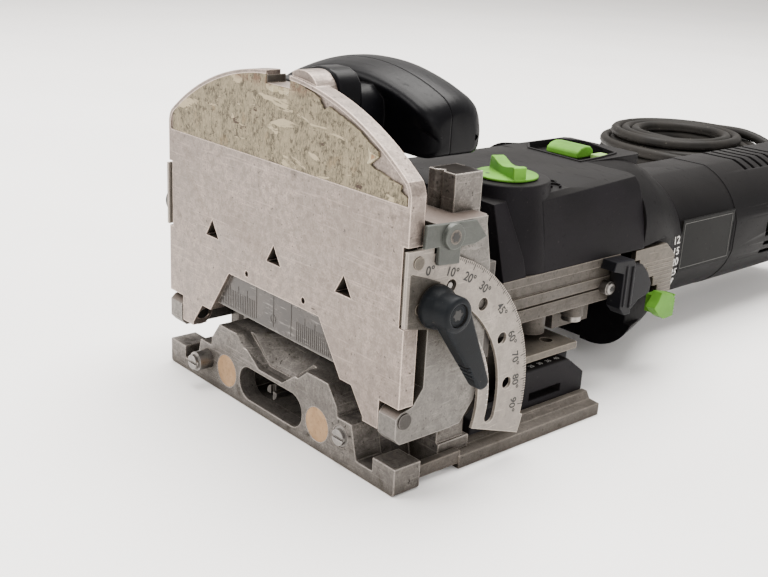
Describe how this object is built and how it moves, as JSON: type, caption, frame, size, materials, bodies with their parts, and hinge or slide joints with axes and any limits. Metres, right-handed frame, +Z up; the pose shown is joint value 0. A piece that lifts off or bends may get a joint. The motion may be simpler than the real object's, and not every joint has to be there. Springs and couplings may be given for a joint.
{
  "type": "biscuit joiner",
  "caption": "Hand-held joiner with a milled base, tilting and height-adjustable fence, handle, sprung motor unit on guide rods, swinging cutter spindle, depth and width selectors, and a cord.",
  "frame": {"origin": "on the sole, below the centre of the cutter slot, in the plane of the work face", "axes": "+X to the right as seen from the work face, +Y from the work face towards the motor, +Z up from the sole"},
  "size_m": [0.3016, 0.5481, 0.117],
  "materials": {
    "cast_alloy": "worn sand-cast",
    "fence_alloy": "milled, scratched",
    "gearbox_alloy": "die-cast, dusty",
    "pad_rubber": "matt",
    "steel": "ground",
    "steel_sheet": "worn",
    "dark_steel": "blackened",
    "spring_steel": "drawn wire",
    "cutter_steel": "ground",
    "bronze": "sintered",
    "lamination": "varnished laminations",
    "black_plastic": "fine texture",
    "handle_plastic": "satin",
    "lever_plastic": "satin",
    "green_plastic": "satin",
    "grey_enamel": "worn enamel",
    "scale_enamel": "worn enamel",
    "fence_lining": "mottled, worn",
    "clear_plastic": "scratched",
    "label_film": "film",
    "cord_rubber": "matt"
  },
  "bodies": {
    "base_frame": {"front_casting": "cast_alloy", "base_plate": "cast_alloy", "contact_pads": "pad_rubber", "guide_rods": "steel", "return_springs": "spring_steel", "dust_port": "black_plastic", "gauge_bracket": "steel_sheet", "base_screws": "dark_steel", "stop_pin_spring": "spring_steel"},
    "left_stop_pin": {"stop_pin_left": "steel"},
    "right_stop_pin": {"stop_pin_right": "steel"},
    "gauge_slider": {"step_gauge": "black_plastic"},
    "carriage": {"fence_carriage": "cast_alloy", "pointer_plate": "grey_enamel", "hinge_pins": "dark_steel", "column_keepers": "dark_steel", "angle_clamp_stud": "steel", "height_clamp_stud": "steel"},
    "angle_clamp": {"angle_lever": "lever_plastic", "angle_lever_screw": "dark_steel"},
    "height_clamp": {"height_lever": "lever_plastic", "height_lever_screw": "dark_steel"},
    "fence": {"fence_plate": "fence_alloy", "fence_lining": "fence_lining", "sight_window": "clear_plastic", "protractor": "scale_enamel", "side_plate": "scale_enamel", "fence_rivets": "steel_sheet", "handle_front": "handle_plastic", "handle_rear": "handle_plastic", "handle_screws": "dark_steel"},
    "motor_unit": {"gear_housing": "gearbox_alloy", "top_cover": "black_plastic", "depth_collar": "black_plastic", "motor_housing": "black_plastic", "rear_grip": "black_plastic", "rating_plate": "label_film", "rod_bushes": "bronze", "motor_bearings": "steel", "stator": "lamination", "brush_holders": "bronze", "switch_block": "black_plastic", "housing_screws": "dark_steel", "depth_steps": "steel_sheet", "depth_bracket": "black_plastic", "cord_socket": "black_plastic", "strain_relief": "cord_rubber", "cord_tube": "cord_rubber", "cord_coil": "cord_rubber", "mains_plug": "cord_rubber"},
    "depth_selector": {"depth_latch": "green_plastic"},
    "width_selector": {"width_knob": "green_plastic"},
    "switch_slider": {"power_slider": "green_plastic"},
    "rotor": {"armature": "lamination", "cooling_fan": "black_plastic"},
    "idler": {"idler_gear": "steel"},
    "swing_arm": {"spindle_arm": "steel", "spindle_bearings": "steel"},
    "cutter_spindle": {"spindle": "steel", "cutter": "cutter_steel"}
  },
  "joints": [
    {"name": "motor_plunge", "type": "slide", "parent": "base_frame", "child": "motor_unit", "axis": [0, -1, 0], "range_m": [0, 0.029], "stiffness_N_per_m": 250, "springref_m": -0.05, "deforming": ["return_springs"]},
    {"name": "fence_height", "type": "slide", "parent": "base_frame", "child": "carriage", "axis": [0, 0, 1], "range_m": [-0.005, 0.02]},
    {"name": "fence_tilt", "type": "hinge", "parent": "carriage", "child": "fence", "pos_m": [0, 0.003, 0.0235], "axis": [1, 0, 0], "range_deg": [0, 90]},
    {"name": "angle_clamp_turn", "type": "hinge", "parent": "carriage", "child": "angle_clamp", "pos_m": [0.068, 0.00968, 0.05786], "axis": [1, 0, 0], "range_deg": [0, 60]},
    {"name": "height_clamp_turn", "type": "hinge", "parent": "carriage", "child": "height_clamp", "pos_m": [-0.068, 0.00968, 0.05786], "axis": [1, 0, 0], "range_deg": [0, 60]},
    {"name": "left_pin_push", "type": "slide", "parent": "base_frame", "child": "left_stop_pin", "axis": [0, 1, 0], "range_m": [0, 0.0055], "stiffness_N_per_m": 200, "springref_m": -0.003, "deforming": ["stop_pin_spring"]},
    {"name": "right_pin_release", "type": "slide", "parent": "base_frame", "child": "right_stop_pin", "axis": [0, -1, 0], "range_m": [0, 0.0055]},
    {"name": "gauge_slide", "type": "slide", "parent": "base_frame", "child": "gauge_slider", "axis": [0, -1, 0], "range_m": [0, 0.025]},
    {"name": "depth_select", "type": "slide", "parent": "motor_unit", "child": "depth_selector", "axis": [0, 0, 1], "range_m": [0, 0.017]},
    {"name": "width_select", "type": "hinge", "parent": "motor_unit", "child": "width_selector", "pos_m": [0.025, 0.0775, 0.079], "axis": [0, 0, 1], "range_deg": [-45, 45]},
    {"name": "power_switch", "type": "slide", "parent": "motor_unit", "child": "switch_slider", "axis": [0, -1, 0], "range_m": [0, 0.005]},
    {"name": "rotor_spin", "type": "hinge", "parent": "motor_unit", "child": "rotor", "pos_m": [0, 0.18, 0.037], "axis": [0, 1, 0], "continuous": true},
    {"name": "idler_spin", "type": "hinge", "parent": "motor_unit", "child": "idler", "pos_m": [0, 0.092, 0.0235], "axis": [0, 1, 0], "continuous": true},
    {"name": "arm_swing", "type": "hinge", "parent": "motor_unit", "child": "swing_arm", "pos_m": [0, 0.092, 0.01], "axis": [0, 0, 1], "range_deg": [-5.5, 5.5]},
    {"name": "spindle_spin", "type": "hinge", "parent": "swing_arm", "child": "cutter_spindle", "pos_m": [0, 0.06, 0.01], "axis": [0, 1, 0], "continuous": true}
  ],
  "couplings": [
    {"joint": "idler_spin", "follows": "rotor_spin", "ratio": -0.5},
    {"joint": "spindle_spin", "follows": "rotor_spin", "ratio": 1}
  ]
}
